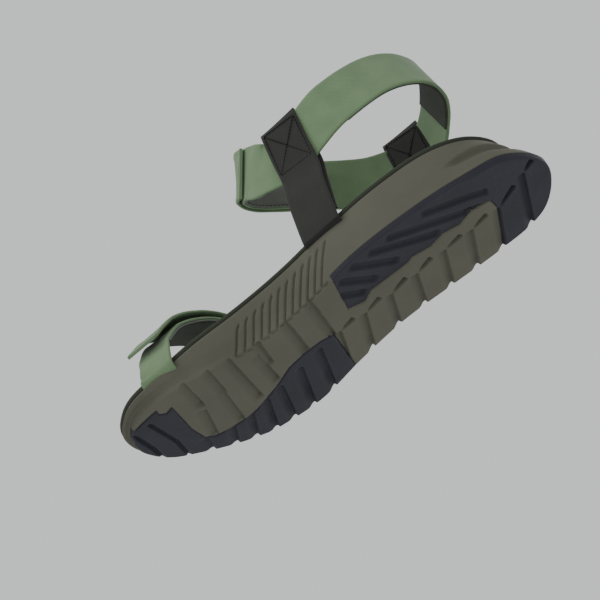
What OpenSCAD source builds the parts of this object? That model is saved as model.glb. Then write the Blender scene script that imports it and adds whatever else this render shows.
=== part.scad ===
// Strappy sport sandal, right foot. Heel towards -Y, toe towards +Y, lateral side +X, ground at z = 0.

/* [Sole] */
// Height of the lugs under the midsole
lug_h = 5; // [4:0.5:6]
// Depth of the grooves between the lugs
groove_d = 3.4; // [2:0.1:3.6]
// Width of the grooves between the lugs
groove_w = 2.6; // [1.5:0.1:4]
// Height of the footbed's visible edge
footbed_edge = 3.6; // [3:0.1:5]
// Depth of the dish that the foot rests in
dish = 1.4; // [0.5:0.1:2]
// Number of ribs on the medial side wall
ribs = 12; // [6:1:12]
// Thickness of the stiffening shank
shank_t = 1.6; // [1:0.1:2]

/* [Ankle strap] */
// Width of the ankle webbing
ankle_w = 34; // [30:1:36]
// Thickness of the webbing
webbing_t = 1.8; // [1.5:0.1:2]
// Width of the post tapes
tape_w = 26.6; // [24:0.2:28]
// Thickness of the post tapes
tape_t = 1.2; // [1:0.1:1.4]

/* [Toe strap] */
// Width of the toe webbing
toe_w = 24; // [22:1:25]

/* [Closure] */
// Thickness of one hook or loop patch
patch_t = 0.4; // [0.4:0.1:0.6]
// Margin from a patch to the webbing's edge
patch_margin = 1.5; // [1:0.5:3]
// Thickness of the lining under the straps
lining_t = 1.2; // [0.8:0.1:1.4]
// Diameter of the stitching thread
thread_d = 0.7; // [0.5:0.1:0.9]

/* [Hidden] */
fit_gap = 0.05;
per_point = 4;

// Plan outlines, heel first and then the medial side, the toe and the lateral side.
ground_plan = [
    [2, -160], [-31, -142], [-42, -112], [-46, -75], [-45, -40], [-37, -5], [-36, 32], [-43, 64],
    [-41, 89], [-32, 110.5], [-21, 123], [-7, 130.5], [10, 131], [29, 120], [41, 93], [48, 63],
    [52, 30], [43, -5], [37, -40], [38, -75], [39, -111], [34, -145.5]
];
top_plan = [
    [0, -145.4], [-24.6, -133.8], [-38, -111], [-42, -75], [-41, -40], [-38, -5], [-40, 30], [-46, 64],
    [-45, 90], [-38, 112], [-24.4, 125.6], [-8, 133.6], [12, 132.8], [32, 121], [44, 94], [50, 63],
    [51, 30], [45, -5], [40, -40], [39, -75], [37, -111], [26.6, -135.6]
];
// Heights along the length, as [y, z].
ground_line = [
    [-160, 3], [-145, 1.6], [-120, 0], [60, 0], [78, 3.2], [95, 7.6], [112, 12.6], [130, 16.4], [140, 17.6]
];
top_line = [
    [-160, 31], [-145, 31.4], [-95, 34], [-35, 31.6], [25, 25.5], [85, 18.6], [112, 20.4], [135, 24.5],
    [145, 26]
];

// Strap routes through the middle of the webbing, as [x, y, z, lean of the width in degrees].
// The ankle strap starts under the flap, runs back through both posts and ends beside the flap's fold.
ankle_route = [
    [19.7, -38.7, 114.7, -15], [11.7, -26, 119.5, -16], [3.7, -16.9, 122, -20], [-4.3, -12.2, 122.3, -24],
    [-12.2, -11.3, 120.5, -25], [-19, -13.2, 117.2, -24], [-25.5, -17.8, 111.5, -18], [-32, -26.5, 101.5, -8],
    [-36, -43.6, 95.7, 0], [-38.3, -62, 99.8, 1], [-40.1, -82.8, 103.6, 2], [-34.5, -112.8, 105.6, -5],
    [-20.2, -132.1, 103.7, -9], [0, -137.8, 100.8, -3], [21.8, -127.9, 96.4, 2], [37, -113.5, 92.6, 3],
    [39.4, -98, 91.6, 2], [37.7, -72.7, 97.2, -15], [27, -45, 112.3, -13]
];
flap_route = [
    [26.1, -43.1, 113.1, -14], [18.8, -30, 118.4, -15], [10.5, -18.8, 122.1, -17], [1.5, -11, 123.8, -22],
    [-8.3, -8, 123.2, -25], [-17.5, -9, 120.4, -25], [-25, -13.3, 115.6, -22]
];
toe_route = [
    [-28, 87, 17.2, -2], [-38, 89, 17.2, -2], [-45.2, 88.7, 18.7, -16], [-46, 87.7, 23.1, -13],
    [-44, 85.8, 30.6, -11],
    [-38.6, 84.4, 39.6, -7], [-25.3, 78.1, 52.8, 1], [-4, 66.6, 59.8, 0], [16, 57.6, 60.4, 0],
    [27, 55.6, 55.6, 0]
];
toe_lateral_route = [
    [30, 62.5, 18.6, 0], [40, 62.7, 18.6, 0], [49.6, 62.7, 20, 0], [51.2, 61.6, 26, 0], [49, 59.4, 35, 0],
    [44, 56.8, 46, 0], [38.2, 55.2, 54.6, 0]
];
toe_flap_route = [
    [36.8, 55.2, 56.4, 0], [29, 55.4, 62.4, 0], [18.6, 56.4, 65.6, 2],
    [-4.3, 66.8, 65, 4], [-26.8, 79.3, 57.6, 4], [-46, 89.4, 41, 4]
];

// ---------- curves ----------
function catmull(a, b, c, d, t) =
    0.5 * (2 * b + (c - a) * t + (2 * a - 5 * b + 4 * c - d) * t * t + (3 * b - a - 3 * c + d) * t * t * t);
function closed_curve(p, n) = [
    for (i = [0 : len(p) - 1], k = [0 : n - 1])
        catmull(p[(i + len(p) - 1) % len(p)], p[i], p[(i + 1) % len(p)], p[(i + 2) % len(p)], k / n)
];
function open_curve(p, n) = [
    for (i = [0 : len(p) - 2], k = [0 : (i == len(p) - 2 ? n : n - 1)])
        catmull(p[max(i - 1, 0)], p[i], p[i + 1], p[min(i + 2, len(p) - 1)], k / n)
];
function ease(t) = t * t * (3 - 2 * t);
function slope(line, i) =
    let (a = max(i - 1, 0), b = min(i + 1, len(line) - 1))
    (line[b][1] - line[a][1]) / (line[b][0] - line[a][0]);
function hermite(z0, z1, m0, m1, t) =
    z0 * (1 - ease(t)) + z1 * ease(t) + m0 * t * (1 - t) * (1 - t) - m1 * t * t * (1 - t);
function height_at(line, y, i = 0) =
    (i < len(line) - 2 && y > line[i + 1][0]) ? height_at(line, y, i + 1) :
    let (a = line[i], b = line[i + 1], step = b[0] - a[0], t = max(0, min(1, (y - a[0]) / step)))
        hermite(a[1], b[1], slope(line, i) * step, slope(line, i + 1) * step, t);

// ---------- rings and skins ----------
function unit(v) = v / norm(v);
function outward(ring, i) =
    let (n = len(ring), t = unit(ring[(i + 1) % n] - ring[(i + n - 1) % n])) [-t[1], t[0]];
function grown(ring, d) = [for (i = [0 : len(ring) - 1]) ring[i] + outward(ring, i) * d];
function mixed(a, b, f) = [for (i = [0 : len(a) - 1]) a[i] * (1 - f) + b[i] * f];
ground_ring = closed_curve(ground_plan, per_point);
top_ring = closed_curve(top_plan, per_point);
function ground_z(y) = max(0, height_at(ground_line, y));
function sole_z(y, f, lift) = ground_z(y) * (1 - f) + height_at(top_line, y) * f + lift;
// One ring of the sole: f goes from the ground outline (0) to the top outline (1).
function sole_ring(f, lift, grow = 0) = [
    for (p = grown(mixed(ground_ring, top_ring, f), grow)) [p[0], p[1], sole_z(p[1], f, lift)]
];

// Closes a stack of equal rings into a solid, with ladder-like end faces.
module skin(rings) {
    n = len(rings[0]);
    last = (len(rings) - 1) * n;
    sides = [
        for (j = [0 : len(rings) - 2], i = [0 : n - 1])
            let (a = j * n + i, b = j * n + (i + 1) % n) each [[a, b, b + n], [a, b + n, a + n]]
    ];
    ladder = [
        for (i = [0 : n / 2 - 1]) each [
            if (i > 0) [i, i + 1, n - i],
            if (i < n / 2 - 1 || i == 0) [i + 1, n - i - 1, (n - i) % n]
        ]
    ];
    top = [for (f = ladder) if (f[0] != f[1] && f[1] != f[2]) [f[0] + last, f[1] + last, f[2] + last]];
    bottom = [for (f = ladder) if (f[0] != f[1] && f[1] != f[2]) [f[2], f[1], f[0]]];
    polyhedron(points = [for (r = rings) each r], faces = concat(sides, top, bottom));
}

// One ring of a flat band: its width follows the vector ref, leaned by the angle in the fourth value.
function band_frame(c, d, ref, lean) =
    let (w0 = unit(ref - d * (d * ref)), n0 = cross(d, w0))
    let (w = w0 * cos(lean) + n0 * sin(lean)) [c, w, cross(d, w)];
function band_frames(route, ref, n) =
    let (c = open_curve(route, n), last = len(c) - 1) [
        for (i = [0 : last])
            let (a = c[max(i - 1, 0)], b = c[min(i + 1, last)])
            let (d = unit([b[0] - a[0], b[1] - a[1], b[2] - a[2]]))
            band_frame([c[i][0], c[i][1], c[i][2]], d, ref, c[i][3])
    ];
function band_rings(frames, w, t, shift = 0) = [
    for (f = frames)
        let (c = f[0] + f[2] * shift, u = f[1] * w / 2, v = f[2] * t / 2)
        [c + u + v, c + u - v, c - u - v, c - u + v]
];
module band(frames, w, t, shift = 0) {
    skin(band_rings(frames, w, t, shift));
}
function part_of(list, first, last) = [for (i = [first : last]) list[i]];
up = [0, 0, 1];
along = [0, 1, 0];
steps = 4;
ankle_frames = band_frames(ankle_route, up, steps);
flap_frames = band_frames(flap_route, up, steps);
toe_frames = band_frames(toe_route, along, steps);
toe_lateral_frames = band_frames(toe_lateral_route, along, steps);
toe_flap_frames = band_frames(toe_flap_route, along, steps);

// ---------- sole ----------
heel_pad_plan = [
    [-60, -26], [-9, -19], [-5, -29], [-10, -36], [-10, -62], [-12, -66], [-9, -78], [-12, -88],
    [-9, -99], [-13, -108], [-10, -121], [1.6, -122.2], [60, -106.8], [60, -170], [-60, -170]
];
front_pad_plan = [
    [3, -3], [60, 2], [60, 150], [-14, 150], [-19, 125], [-30, 103.5], [-25, 104.5], [-23, 100.6],
    [-27, 95.4],
    [5, 98.4], [19.6, 97.2], [23, 92], [22, 82], [20, 71], [16, 58], [10, 43], [2, 29], [0, 17], [0, 6]
];
heel_grooves = [
    [[-12, -154], [-9, -146]], [[-9, -146], [50, -132]], [[-4.1, -137.7], [2.1, -123]],
    [[2.1, -123], [55, -109]]
];
front_grooves = [
    [[8, 8], [62, 20]], [[12, 24], [62, 36]], [[15, 40], [62, 50]], [[17, 51.5], [62, 64]],
    [[19, 64], [62, 78]], [[22, 78], [62, 91]], [[24, 96], [62, 103]], [[-18, 113.7], [12, 111.5]],
    [[12, 111.5], [60, 117]], [[-14, 126], [8, 125]], [[8, 125], [50, 128]]
];
medial_grooves = [
    [[-60, 77], [-14, 80]], [[-8, 82], [18, 87]], [[-60, 61], [-17, 64.4]], [[-17, 65.5], [14, 69]],
    [[-60, 48], [6, 52]], [[-26, 36], [3, 37.5]], [[-60, 28], [-12, 33]], [[-60, 9], [0, 13.4]],
    [[-60, -9], [4, -4]]
];
lateral_grooves = [
    [[3.1, -103.6], [55, -90.4]], [[3, -84.1], [55, -72]], [[5, -63.1], [55, -52.7]],
    [[6, -44.3], [56, -32.7]], [[5.6, -25.5], [58, -11.3]], [[5, -7.5], [58, 5]]
];
bar_grooves = [
    [[-39, -85], [-15, -131]], [[-41, -61], [-9, -115]], [[-40, -48], [-13, -88]],
    [[-40, -35], [-16, -60]], [[-35, -25], [-14, -44]], [[-24, -19], [-10, -34]]
];

module groove(ends, depth) {
    span = ends[1] - ends[0];
    middle = (ends[0] + ends[1]) / 2;
    floor_z = ground_z(middle[1]) + depth;
    translate([ends[0][0], ends[0][1], floor_z - 30])
        rotate([0, 0, atan2(span[1], span[0])])
            translate([-groove_w / 2, -groove_w / 2, 0])
                cube([norm(span) + groove_w, groove_w, 30]);
}

module lug_slab() {
    skin([sole_ring(0, 0, -1.6), sole_ring(0, 1.2, -0.3), sole_ring(0, lug_h, 0)]);
}

module plan_prism(plan) {
    translate([0, 0, -20]) linear_extrude(80) polygon(plan);
}

module shank_space(extra) {
    translate([0, -30, 19]) rotate([-2, 0, 0])
        translate([-12 - extra, -55 - extra, -shank_t / 2 - extra])
            cube([24 + 2 * extra, 110 + 2 * extra, shank_t + 2 * extra]);
}

module rib_cut(i) {
    share = i / (ribs - 1);
    top_y = -31 + 68 * share;
    lean = atan2(15 - 6 * share, 20);
    translate([-50, top_y, height_at(top_line, top_y) - 8])
        rotate([lean, 0, 0])
            translate([0, -0.8, -20])
                cube([12.2, 1.6, 20]);
}

module strap_roots(extra) {
    band(part_of(toe_frames, 0, 3 * steps), toe_w + 2 * extra, webbing_t + 2 * extra);
    band(part_of(toe_lateral_frames, 0, 3 * steps), toe_w + 2 * extra, webbing_t + 2 * extra);
    for (side = [-1, 1]) tape_root(side, extra);
}

module midsole() {
    color("#8b8877") difference() {
        union() {
            skin([
                sole_ring(0, lug_h), sole_ring(0.45, 2.4, 0.6), sole_ring(1, -1.2, 0.2), sole_ring(1, 0, -0.4)
            ]);
            difference() {
                lug_slab();
                plan_prism(heel_pad_plan);
                plan_prism(front_pad_plan);
                for (g = concat(medial_grooves, lateral_grooves)) groove(g, groove_d);
            }
        }
        for (i = [0 : ribs - 1]) rib_cut(i);
        shank_space(fit_gap);
        strap_roots(fit_gap);
    }
}

module footbed() {
    color("#3b4036") difference() {
        skin([
            sole_ring(1, 0, -0.4), sole_ring(1, footbed_edge - 1.2, -0.6),
            sole_ring(1, footbed_edge - 1.4, -2.6), sole_ring(1, footbed_edge - 1.2 - dish, -9)
        ]);
        strap_roots(fit_gap);
    }
}

module footbed_cover() {
    color("#2f332c") difference() {
        skin([
            sole_ring(1, footbed_edge - 1.1 - dish, -9.4), sole_ring(1, footbed_edge - 1.3, -3),
            sole_ring(1, footbed_edge - 1.1, -0.8), sole_ring(1, footbed_edge, -1.2),
            sole_ring(1, footbed_edge - 0.2, -2.8), sole_ring(1, footbed_edge - dish, -9.2)
        ]);
        strap_roots(fit_gap);
    }
}

module shank() {
    color("#202020") shank_space(0);
}

module heel_outsole_pad() {
    color("#4a4c5c") difference() {
        intersection() {
            lug_slab();
            plan_prism(heel_pad_plan);
        }
        for (g = heel_grooves) groove(g, groove_d);
        for (g = bar_grooves) groove(g, 1.6);
    }
}

module front_outsole_pad() {
    color("#4a4c5c") difference() {
        intersection() {
            lug_slab();
            plan_prism(front_pad_plan);
        }
        for (g = front_grooves) groove(g, groove_d);
    }
}

// ---------- posts ----------
// Each post is a tape folded over the ankle strap. Its outer leg is rooted under the footbed's edge.
medial_root = [-40.8, -34.5, 31.6];
medial_head = [-36.7, -46.5, 96.3];
lateral_root = [38.6, -87, 33.8];
lateral_head = [39.2, -101, 91.8];
fold_rise = 5;
// Each post is turned about the vertical to lie along its strap, and its inner leg is a little slack.
medial_turn = 8.6;
lateral_turn = 4;
inner_slack = 1.3;
function post_root(side) = side < 0 ? medial_root : lateral_root;
function post_head(side) = side < 0 ? medial_head : lateral_head;
leg_half = webbing_t / 2 + tape_t / 2 + 0.15;
function xyz(p, dx, dy, dz) = [p[0] + dx, p[1] + dy, p[2] + dz, 0];
function post_turn(side) = side < 0 ? medial_turn : lateral_turn;
function post_ref(side) = [sin(post_turn(side)), cos(post_turn(side)), 0];
// A point moved outwards from the post's middle, square to its width.
function out(side, p, d, dy, dz) =
    let (a = post_turn(side)) xyz(p, side * d * cos(a), dy - side * d * sin(a), dz);
function root_route(side) =
    let (r = post_root(side)) [
        xyz(r, -side * 14, 0, -1.4), xyz(r, -side * 3, 0, -1.4), xyz(r, side * 0.9, 0, -0.2),
        xyz(r, side * 1.5, -0.6, 4.6)
    ];
// Up the outside, over the strap's top edge and down the inside to just above the footbed.
function leg_route(side) =
    let (r = post_root(side), h = post_head(side), half = ankle_w / 2, waist = h * 0.45 + r * 0.55) [
        out(side, waist, 1.4, 0, 0),
        out(side, h, leg_half + 0.2, 2, -half),
        out(side, h, leg_half, 0, 0),
        out(side, h, leg_half - 0.2, -2.4, half),
        out(side, h, 0.9, -3, half + fold_rise),
        out(side, h, 0, -3.1, half + fold_rise + 1),
        out(side, h, -0.9, -3, half + fold_rise),
        out(side, h, -leg_half - inner_slack / 2, -2.4, half),
        out(side, h, -leg_half - inner_slack, -0.6, 0),
        out(side, h, -leg_half - inner_slack, 1, -half),
        out(side, waist, 1.3 - tape_t - inner_slack, -1.6, 0),
        out(side, r, 1.1 - tape_t, -2.4, 9)
    ];
function tape_frames(side) = band_frames(concat(root_route(side), leg_route(side)), post_ref(side), 3);

module tape_root(side, extra) {
    band(band_frames(root_route(side), post_ref(side), 3), tape_w + 2 * extra, tape_t + 2 * extra);
}

module post_tape(side) {
    color("#34382f") band(tape_frames(side), tape_w, tape_t);
}

// The box and cross that holds the strap in its post, as thin threads sunk into the tape's outer face.
module post_stitching(side) {
    h = post_head(side);
    box_w = tape_w - 4;
    box_h = ankle_w - 2;
    face_x = side * (leg_half + tape_t / 2);
    lean = atan2(box_w, box_h);
    skew = atan2(2.4, ankle_w / 2);
    color("#23261f") translate([h[0] + face_x, h[1] - 0.5, h[2] + 3.6])
        rotate([0, 0, -post_turn(side)]) rotate([skew, 0, 0]) {
            for (s = [-1, 1]) {
                translate([0, s * box_w / 2, 0]) cube([thread_d, thread_d, box_h + thread_d], center = true);
                translate([0, 0, s * box_h / 2]) cube([thread_d, box_w + thread_d, thread_d], center = true);
                rotate([s * lean, 0, 0]) cube([thread_d, thread_d, norm([box_w, box_h])], center = true);
            }
        }
}

module medial_post_tape() {
    post_tape(-1);
}

module lateral_post_tape() {
    post_tape(1);
}

module medial_post_stitching() {
    post_stitching(-1);
}

module lateral_post_stitching() {
    post_stitching(1);
}

// ---------- straps ----------
// Where the layers on a webbing's two faces lie, from the webbing's middle.
lining_shift = -(webbing_t + lining_t) / 2 - fit_gap;
patch_shift = (webbing_t + patch_t) / 2 + fit_gap;
ankle_patch_w = ankle_w - 2 * patch_margin;
toe_patch_w = toe_w - 2 * patch_margin;

module ankle_strap() {
    color("#7fa077") band(ankle_frames, ankle_w, webbing_t);
}

module heel_lining() {
    color("#3c443a") band(part_of(ankle_frames, 10 * steps, 14 * steps), ankle_w - 1, lining_t, lining_shift);
}

module instep_lining() {
    color("#3c443a") band(part_of(ankle_frames, 0, 7 * steps), ankle_w - 1, lining_t, lining_shift);
}

module instep_loop_patch() {
    color("#8fae87") band(part_of(ankle_frames, 1, 5 * steps), ankle_patch_w, patch_t, patch_shift);
}

module instep_flap() {
    color("#7fa077") band(flap_frames, ankle_w, webbing_t);
}

module instep_hook_patch() {
    color("#5d7558") band(part_of(flap_frames, 3, 6 * steps - 1), ankle_patch_w, patch_t, -patch_shift);
}

module toe_base_strap() {
    color("#7fa077") band(toe_frames, toe_w, webbing_t);
}

module toe_lining() {
    color("#3c443a") band(part_of(toe_frames, 5 * steps, 9 * steps), toe_w - 1, lining_t, lining_shift);
}

module toe_loop_patch() {
    color("#8fae87") band(part_of(toe_frames, 6 * steps, 9 * steps - 1), toe_patch_w, patch_t, patch_shift);
}

module toe_lateral_strap() {
    color("#7fa077") band(toe_lateral_frames, toe_w, webbing_t);
}

module toe_flap() {
    color("#7fa077") band(toe_flap_frames, toe_w, webbing_t);
}

module toe_hook_patch() {
    color("#5d7558") band(part_of(toe_flap_frames, 4, 5 * steps - 1), toe_patch_w, patch_t, patch_shift);
}

midsole();
footbed();
footbed_cover();
shank();
heel_outsole_pad();
front_outsole_pad();
medial_post_tape();
lateral_post_tape();
medial_post_stitching();
lateral_post_stitching();
ankle_strap();
heel_lining();
instep_lining();
instep_loop_patch();
instep_flap();
instep_hook_patch();
toe_base_strap();
toe_lining();
toe_loop_patch();
toe_lateral_strap();
toe_flap();
toe_hook_patch();
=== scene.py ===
"""Strappy sport sandal, right foot. The CAD frame gives the places, this script the skins."""
import math

import bmesh
import bpy
import numpy as np
from mathutils import Matrix, Vector


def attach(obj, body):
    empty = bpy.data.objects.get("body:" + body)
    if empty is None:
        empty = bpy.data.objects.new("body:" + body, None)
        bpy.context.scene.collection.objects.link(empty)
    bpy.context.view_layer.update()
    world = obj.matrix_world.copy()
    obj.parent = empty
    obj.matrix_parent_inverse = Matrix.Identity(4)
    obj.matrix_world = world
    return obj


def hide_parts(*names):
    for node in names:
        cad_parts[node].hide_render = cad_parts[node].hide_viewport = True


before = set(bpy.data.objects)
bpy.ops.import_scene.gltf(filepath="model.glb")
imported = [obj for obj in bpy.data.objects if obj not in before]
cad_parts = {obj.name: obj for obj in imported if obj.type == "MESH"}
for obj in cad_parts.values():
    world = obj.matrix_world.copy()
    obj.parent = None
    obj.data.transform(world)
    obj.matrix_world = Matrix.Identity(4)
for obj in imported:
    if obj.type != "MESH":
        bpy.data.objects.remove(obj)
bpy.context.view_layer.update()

MM = 0.001

# ---------- camera ----------
camera_data = bpy.data.cameras.new("camera")
camera_data.lens = 108
camera_data.sensor_width = 36
camera = bpy.data.objects.new("camera", camera_data)
axis_x = Vector((0.4048, -0.7927, -0.4558))
axis_y = -Vector((0.4151, 0.6034, -0.6808))
axis_z = -Vector((0.8148, 0.0864, 0.5733))
turn = Matrix((axis_x, axis_y, axis_z)).transposed()
camera.matrix_world = Matrix.Translation(Vector((-0.8645, -0.0894, -0.5758))) @ turn.to_4x4()
bpy.context.scene.collection.objects.link(camera)
bpy.context.scene.camera = camera

# ---------- sizes in mm, as in part.scad ----------
LUG_H = 5.0
FOOTBED_EDGE = 3.6
DISH = 1.4
RIBS = 12
ANKLE_W = 34.0
WEBBING_T = 1.8
TAPE_W = 26.6
TAPE_T = 1.2
TOE_W = 24.0
PATCH_T = 0.4
PATCH_MARGIN = 1.5
LINING_T = 1.2
FIT_GAP = 0.05
GROUND_PLAN = [
    (2, -160), (-31, -142), (-42, -112), (-46, -75), (-45, -40), (-37, -5), (-36, 32), (-43, 64),
    (-41, 89), (-32, 110.5), (-21, 123), (-7, 130.5), (10, 131), (29, 120), (41, 93), (48, 63),
    (52, 30), (43, -5), (37, -40), (38, -75), (39, -111), (34, -145.5),
]
TOP_PLAN = [
    (0, -145.4), (-24.6, -133.8), (-38, -111), (-42, -75), (-41, -40), (-38, -5), (-40, 30), (-46, 64),
    (-45, 90), (-38, 112), (-24.4, 125.6), (-8, 133.6), (12, 132.8), (32, 121), (44, 94), (50, 63),
    (51, 30), (45, -5), (40, -40), (39, -75), (37, -111), (26.6, -135.6),
]
GROUND_LINE = [
    (-160, 3), (-145, 1.6), (-120, 0), (60, 0), (78, 3.2), (95, 7.6), (112, 12.6), (130, 16.4), (140, 17.6),
]
TOP_LINE = [
    (-160, 31), (-145, 31.4), (-95, 34), (-35, 31.6), (25, 25.5), (85, 18.6), (112, 20.4), (135, 24.5),
    (145, 26),
]
ANKLE_ROUTE = [
    (19.7, -38.7, 114.7, -15), (11.7, -26, 119.5, -16), (3.7, -16.9, 122, -20), (-4.3, -12.2, 122.3, -24),
    (-12.2, -11.3, 120.5, -25), (-19, -13.2, 117.2, -24), (-25.5, -17.8, 111.5, -18), (-32, -26.5, 101.5, -8),
    (-36, -43.6, 95.7, 0), (-38.3, -62, 99.8, 1), (-40.1, -82.8, 103.6, 2), (-34.5, -112.8, 105.6, -5),
    (-20.2, -132.1, 103.7, -9), (0, -137.8, 100.8, -3), (21.8, -127.9, 96.4, 2), (37, -113.5, 92.6, 3),
    (39.4, -98, 91.6, 2), (37.7, -72.7, 97.2, -15), (27, -45, 112.3, -13),
]
FLAP_ROUTE = [
    (26.1, -43.1, 113.1, -14), (18.8, -30, 118.4, -15), (10.5, -18.8, 122.1, -17), (1.5, -11, 123.8, -22),
    (-8.3, -8, 123.2, -25), (-17.5, -9, 120.4, -25), (-25, -13.3, 115.6, -22),
]
TOE_ROUTE = [
    (-28, 87, 17.2, -2), (-38, 89, 17.2, -2), (-45.2, 88.7, 18.7, -16), (-46, 87.7, 23.1, -13),
    (-44, 85.8, 30.6, -11), (-38.6, 84.4, 39.6, -7), (-25.3, 78.1, 52.8, 1), (-4, 66.6, 59.8, 0),
    (16, 57.6, 60.4, 0), (27, 55.6, 55.6, 0),
]
TOE_LATERAL_ROUTE = [
    (30, 62.5, 18.6, 0), (40, 62.7, 18.6, 0), (49.6, 62.7, 20, 0), (51.2, 61.6, 26, 0), (49, 59.4, 35, 0),
    (44, 56.8, 46, 0), (38.2, 55.2, 54.6, 0),
]
TOE_FLAP_ROUTE = [
    (36.8, 55.2, 56.4, 0), (29, 55.4, 62.4, 0), (18.6, 56.4, 65.6, 2),
    (-4.3, 66.8, 65, 4), (-26.8, 79.3, 57.6, 4), (-46, 89.4, 41, 4),
]
HEEL_PAD_PLAN = [
    (-60, -26), (-9, -19), (-5, -29), (-10, -36), (-10, -62), (-12, -66), (-9, -78), (-12, -88),
    (-9, -99), (-13, -108), (-10, -121), (1.6, -122.2), (60, -106.8), (60, -170), (-60, -170),
]
FRONT_PAD_PLAN = [
    (3, -3), (60, 2), (60, 150), (-14, 150), (-19, 125), (-30, 103.5), (-25, 104.5), (-23, 100.6),
    (-27, 95.4),
    (5, 98.4), (19.6, 97.2), (23, 92), (22, 82), (20, 71), (16, 58), (10, 43), (2, 29), (0, 17), (0, 6),
]
MEDIAL_ROOT = (-40.8, -34.5, 31.6)
MEDIAL_HEAD = (-36.7, -46.5, 96.3)
LATERAL_ROOT = (38.6, -87, 33.8)
LATERAL_HEAD = (39.2, -101, 91.8)
FOLD_RISE = 5.0
MEDIAL_TURN = 8.6
LATERAL_TURN = 4.0
INNER_SLACK = 1.3
UP = np.array((0.0, 0.0, 1.0))
ALONG = np.array((0.0, 1.0, 0.0))


# ---------- curves ----------
def catmull(a, b, c, d, t):
    bend = (2 * a - 5 * b + 4 * c - d) * t * t
    return 0.5 * (2 * b + (c - a) * t + bend + (3 * b - a - 3 * c + d) * t ** 3)


def closed_curve(points, n):
    p = np.array(points, float)
    t = (np.arange(n) / n)[:, None]
    size = len(p)
    return np.concatenate([
        catmull(p[i - 1], p[i], p[(i + 1) % size], p[(i + 2) % size], t) for i in range(size)
    ])


def open_curve(points, n):
    p = np.array(points, float)
    t = (np.arange(n) / n)[:, None]
    last = len(p) - 1
    parts = [catmull(p[max(i - 1, 0)], p[i], p[i + 1], p[min(i + 2, last)], t) for i in range(last)]
    return np.concatenate(parts + [p[-1:]])


def smooth(t):
    t = np.clip(t, 0.0, 1.0)
    return t * t * (3 - 2 * t)


def height_at(line, y):
    ys = np.array([p[0] for p in line], float)
    zs = np.array([p[1] for p in line], float)
    slopes = np.array([
        (zs[min(i + 1, len(zs) - 1)] - zs[max(i - 1, 0)]) / (ys[min(i + 1, len(ys) - 1)] - ys[max(i - 1, 0)])
        for i in range(len(ys))
    ])
    i = np.clip(np.searchsorted(ys, y, side="left") - 1, 0, len(ys) - 2)
    step = ys[i + 1] - ys[i]
    t = np.clip((y - ys[i]) / step, 0, 1)
    e = t * t * (3 - 2 * t)
    return (zs[i] * (1 - e) + zs[i + 1] * e + slopes[i] * step * t * (1 - t) ** 2
            - slopes[i + 1] * step * t * t * (1 - t))


def ground_z(y):
    return np.maximum(0.0, height_at(GROUND_LINE, y))


def top_z(y):
    return height_at(TOP_LINE, y)


def unit(v):
    return v / np.linalg.norm(v, axis=-1, keepdims=True)


# ---------- mesh tools ----------
# Points closer than this, in metres, become one.
MERGE = 0.00002


def add_mesh(name, verts, faces, material, uv=None, sharp=None):
    """verts in mm. uv holds one pair for each vertex, in mm."""
    mesh = bpy.data.meshes.new(name)
    mesh.from_pydata((np.asarray(verts) * MM).tolist(), [], [tuple(int(i) for i in f) for f in faces])
    mesh.validate()
    if uv is not None:
        layer = mesh.uv_layers.new(name="weave")
        index = np.zeros(len(mesh.loops), int)
        mesh.loops.foreach_get("vertex_index", index)
        layer.data.foreach_set("uv", np.asarray(uv, float)[index].ravel())
    mesh.polygons.foreach_set("use_smooth", [True] * len(mesh.polygons))
    if sharp:
        mesh.set_sharp_from_angle(angle=math.radians(sharp))
    obj = bpy.data.objects.new(name, mesh)
    bpy.context.scene.collection.objects.link(obj)
    mesh.materials.append(material)
    return obj


def clean(obj):
    work = bmesh.new()
    work.from_mesh(obj.data)
    bmesh.ops.remove_doubles(work, verts=work.verts, dist=MERGE)
    bmesh.ops.dissolve_degenerate(work, edges=work.edges, dist=MERGE / 4)
    bmesh.ops.recalc_face_normals(work, faces=work.faces)
    work.to_mesh(obj.data)
    work.free()
    obj.data.polygons.foreach_set("use_smooth", [True] * len(obj.data.polygons))


def grid_faces(rows, columns):
    """Quads of a stack of closed rings."""
    faces = []
    for r in range(rows - 1):
        for c in range(columns):
            d = (c + 1) % columns
            faces.append((r * columns + c, (r + 1) * columns + c, (r + 1) * columns + d, r * columns + d))
    return faces


def finish_piece(obj, body, slot_name, *nodes):
    if nodes:
        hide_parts(*nodes)
    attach(obj, body)
    return obj


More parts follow.
